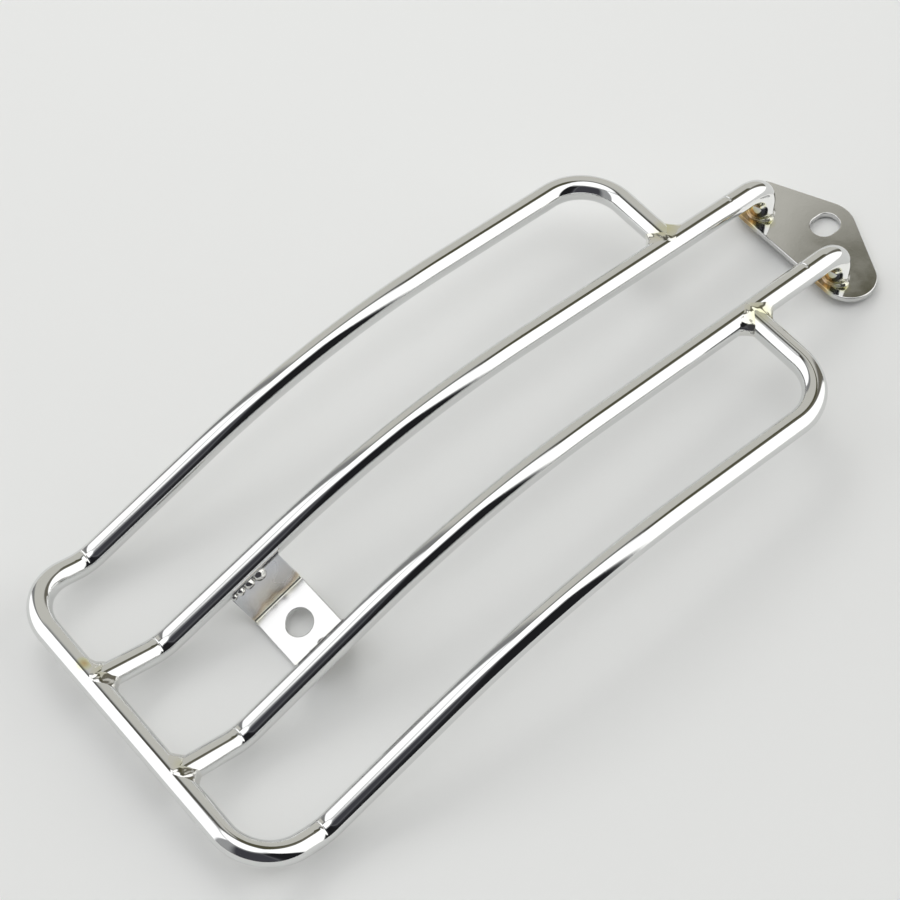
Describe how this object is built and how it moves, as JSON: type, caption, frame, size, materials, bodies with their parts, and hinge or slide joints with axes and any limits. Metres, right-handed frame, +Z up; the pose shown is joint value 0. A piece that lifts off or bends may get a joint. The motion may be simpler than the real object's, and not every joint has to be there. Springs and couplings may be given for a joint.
{
  "type": "motorcycle luggage rack",
  "caption": "Slim chromed rack of bent round rod for the rear fender, with a slotted front plate and a folded rear bracket.",
  "frame": {"origin": "on the floor that the rack lies on, under the middle of its outline", "axes": "+X across the rack, +Y towards the plate at its front end, +Z up; the rack lies on its rear bracket and on the nose of its plate"},
  "size_m": [0.1566, 0.3658, 0.0435],
  "materials": {
    "rod_chrome": "bright chrome on polished round steel",
    "plate_chrome": "duller chrome on cut sheet steel, with a warm tint towards the welds",
    "strip_chrome": "satin chrome on folded sheet steel",
    "weld_chrome": "chrome over a rippled weld bead"
  },
  "bodies": {
    "root": {"outer_hoop": "rod_chrome", "inner_rail_left": "rod_chrome", "inner_rail_right": "rod_chrome", "front_plate": "plate_chrome", "rear_bracket": "strip_chrome", "hoop_weld_left": "weld_chrome", "hoop_weld_right": "weld_chrome", "crossbar_weld_left": "weld_chrome", "crossbar_weld_right": "weld_chrome", "plate_weld_left": "weld_chrome", "plate_weld_right": "weld_chrome", "bracket_weld_left": "weld_chrome", "bracket_weld_right": "weld_chrome"}
  },
  "joints": []
}
